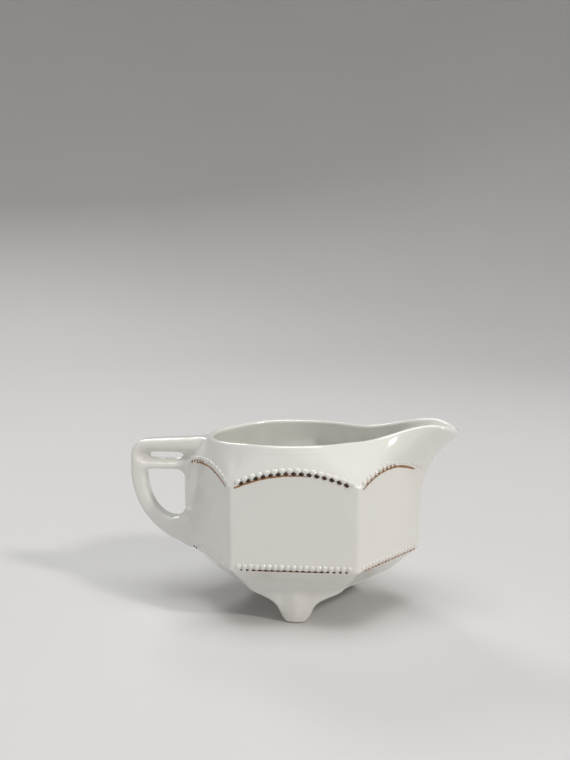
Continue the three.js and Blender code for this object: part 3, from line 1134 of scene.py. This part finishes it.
# %% Helpers for materials
class Finish:
    """A material and the few calls that the finishes below share."""

    def __init__(self, name, **constants):
        self.material = bpy.data.materials.new(name)
        self.material.use_nodes = True
        self.nodes = self.material.node_tree.nodes
        self.join = self.material.node_tree.links.new
        self.shader = self.nodes["Principled BSDF"]
        for label, value in constants.items():
            self.shader.inputs[label.replace("_", " ")].default_value = value
        self.place = self.nodes.new("ShaderNodeTexCoord").outputs["Object"]

    def uneven(self, scale, low, high):
        node = self.nodes.new("ShaderNodeGroup")
        node.node_tree = uneven_fire
        self.join(self.place, node.inputs["Vector"])
        node.inputs["Scale"].default_value = scale
        node.inputs["Low"].default_value = low
        node.inputs["High"].default_value = high
        return node.outputs["Value"]

    def blend(self, mask, first, second):
        node = self.nodes.new("ShaderNodeMix")
        node.data_type = "RGBA"
        self.join(mask, node.inputs["Factor"])
        for socket, colour in ((node.inputs[6], first), (node.inputs[7], second)):
            if isinstance(colour, tuple):
                socket.default_value = (*colour, 1)
            else:
                self.join(colour, socket)
        return node.outputs[2]

    def bump(self, height, distance, below=None):
        node = self.nodes.new("ShaderNodeBump")
        node.inputs["Distance"].default_value = distance
        self.join(height, node.inputs["Height"])
        if below:
            self.join(below, node.inputs["Normal"])
        return node.outputs["Normal"]


# %% The glaze
def make_porcelain():
    glaze = Finish("white_glaze", IOR=1.52, Coat_Weight=0.7, Coat_Roughness=0.04, Coat_IOR=1.5)
    warmth = glaze.uneven(22, 0.0, 1.0)
    white = glaze.blend(warmth, (0.79, 0.79, 0.755), (0.82, 0.805, 0.765))
    specks = glaze.nodes.new("ShaderNodeGroup")
    specks.node_tree = kiln_specks
    glaze.join(glaze.place, specks.inputs["Vector"])
    specks.inputs["Scale"].default_value = 75
    specks.inputs["Size"].default_value = 0.022
    colour = glaze.blend(specks.outputs["Mask"], white, (0.22, 0.15, 0.10))
    glaze.join(colour, glaze.shader.inputs["Base Color"])
    glaze.join(glaze.uneven(70, 0.12, 0.24), glaze.shader.inputs["Roughness"])
    ripple = glaze.bump(glaze.uneven(60, 0.0, 1.0), 0.00012)
    grain = glaze.bump(glaze.uneven(520, 0.0, 1.0), 0.000012, ripple)
    glaze.join(grain, glaze.shader.inputs["Normal"])
    return glaze.material


def make_gold(name, dark, light, metallic):
    gold = Finish(name, Metallic=metallic)
    worn = gold.uneven(900, 0.0, 1.0)
    tone = gold.blend(worn, dark, light)
    gold.join(tone, gold.shader.inputs["Base Color"])
    gold.join(gold.uneven(1400, 0.22, 0.5), gold.shader.inputs["Roughness"])
    gold.join(gold.bump(gold.uneven(1800, 0.0, 1.0), 0.00004), gold.shader.inputs["Normal"])
    return gold.material


porcelain = make_porcelain()
gilding = make_gold("worn_gold_line", (0.25, 0.135, 0.075), (0.50, 0.28, 0.135), 0.65)
# The pools are coloured nearly black: painted dark reflection, not the colour of gold.
dark_reflection_gilding = make_gold("pooled_gold_painted_reflection", (0.030, 0.016, 0.010), (0.085, 0.042, 0.022), 0.5)
print("finishes", porcelain.name, gilding.name, dark_reflection_gilding.name)
for piece in [body, handle, *bead_pieces]:
    piece.data.materials.append(porcelain)
for piece in gilding_pieces:
    piece.data.materials.append(gilding)
    piece.data.materials.append(dark_reflection_gilding)
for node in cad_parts.values():
    for place in node.material_slots:
        place.material = gilding if "gilding" in node.name else porcelain

# %% [markdown]
# ## Camera, floor and light
# The jug stands on a pale surface that sweeps up behind it, so that glaze, which
# mirrors everything, has only plain tones to show. A bowl is used and not a flat
# sheet with a wall, because it looks the same from every side. The light is one
# broad lamp overhead, a small warm one for the key, and weak ones that put a glint
# on the lip, the handle and the shoulder. The camera stands a little above the
# rim, close enough that the mouth is seen as a narrow oval.

# %% Camera
camera_data = bpy.data.cameras.new("camera")
camera = in_scene("camera", camera_data)
camera_data.lens = 42.63
camera_data.sensor_width = 36
camera_data.clip_start = 0.01
camera_data.clip_end = 20
azimuth = math.radians(5.36)
elevation = math.radians(6.2)
distance = 0.3487
aim = Vector((axis_x - 6.72 * MM, 5.17 * MM, 85.25 * MM))
back = Vector((
    math.sin(azimuth) * math.cos(elevation),
    -math.cos(azimuth) * math.cos(elevation),
    math.sin(elevation),
))
camera.location = aim + back * distance
camera.rotation_mode = "QUATERNION"
camera.rotation_quaternion = (-back).to_track_quat("-Z", "Y")
bpy.context.scene.camera = camera
print("camera at", [round(v, 4) for v in camera.location])

# %% A plain round floor that sweeps up on every side
def make_floor():
    flat = 0.9
    turn = 1.5
    top = 2.2
    arc_steps = 24
    round_steps = 96
    profile = [Vector((0, 0, 0)), Vector((flat, 0, 0))]
    for step in range(1, arc_steps + 1):
        angle = math.radians(90 * step / arc_steps)
        out = flat + turn * math.sin(angle)
        profile.append(Vector((out, 0, turn * (1 - math.cos(angle)))))
    profile.append(Vector((flat + turn, 0, top)))
    bm = bmesh.new()
    verts = [bm.verts.new(place) for place in profile]
    edges = [bm.edges.new(pair) for pair in zip(verts, verts[1:])]
    bmesh.ops.spin(
        bm, geom=verts + edges, cent=(0, 0, 0), axis=(0, 0, 1), angle=math.tau,
        steps=round_steps, use_merge=True,
    )
    bmesh.ops.remove_doubles(bm, verts=bm.verts, dist=1e-5)
    bmesh.ops.recalc_face_normals(bm, faces=bm.faces)
    bmesh.ops.reverse_faces(bm, faces=bm.faces)
    floor = shape("floor", bm)
    floor.data.shade_smooth()
    paper = Finish("pale_paper", Roughness=0.7)
    tone = paper.blend(paper.uneven(3, 0.0, 1.0), (0.64, 0.635, 0.63), (0.66, 0.655, 0.65))
    paper.join(tone, paper.shader.inputs["Base Color"])
    floor.data.materials.append(paper.material)
    print("floor", round(2 * (flat + turn), 2), "m across")


make_floor()


# %% Soft studio light
def softbox(name, place, size, watts, tint=(1, 1, 1), wide=1):
    """A lamp that faces the middle of the jug."""
    target = (0, 0, 0.035)
    data = bpy.data.lights.new(name, "AREA")
    data.shape = "RECTANGLE"
    data.size = size * wide
    data.size_y = size
    data.energy = watts
    data.color = tint
    lamp = in_scene(name, data)
    lamp.location = place
    lamp.rotation_mode = "QUATERNION"
    lamp.rotation_quaternion = (Vector(place) - Vector(target)).to_track_quat("Z", "Y")
    print(name, watts, "W")


softbox("overhead", (0.05, -0.15, 1.6), size=1.1, watts=16)
softbox("key_right", (1.15, -0.75, 1.05), size=0.18, watts=9.8, tint=(1, 0.95, 0.88))
softbox("back_left", (-0.6, 1.1, 1.0), size=0.4, watts=5)
softbox("front_high", (0.1, -1.5, 0.95), size=0.75, watts=1.6, wide=3.2)
softbox("glint_left", (-1.15, -0.6, 0.3), size=0.09, watts=0.4)

world = bpy.data.worlds.new("studio")
world.use_nodes = True
background = world.node_tree.nodes["Background"]
background.inputs["Color"].default_value = (0.92, 0.94, 0.96, 1)
background.inputs["Strength"].default_value = 0.13
bpy.context.scene.world = world
bpy.context.scene.view_settings.view_transform = "Standard"
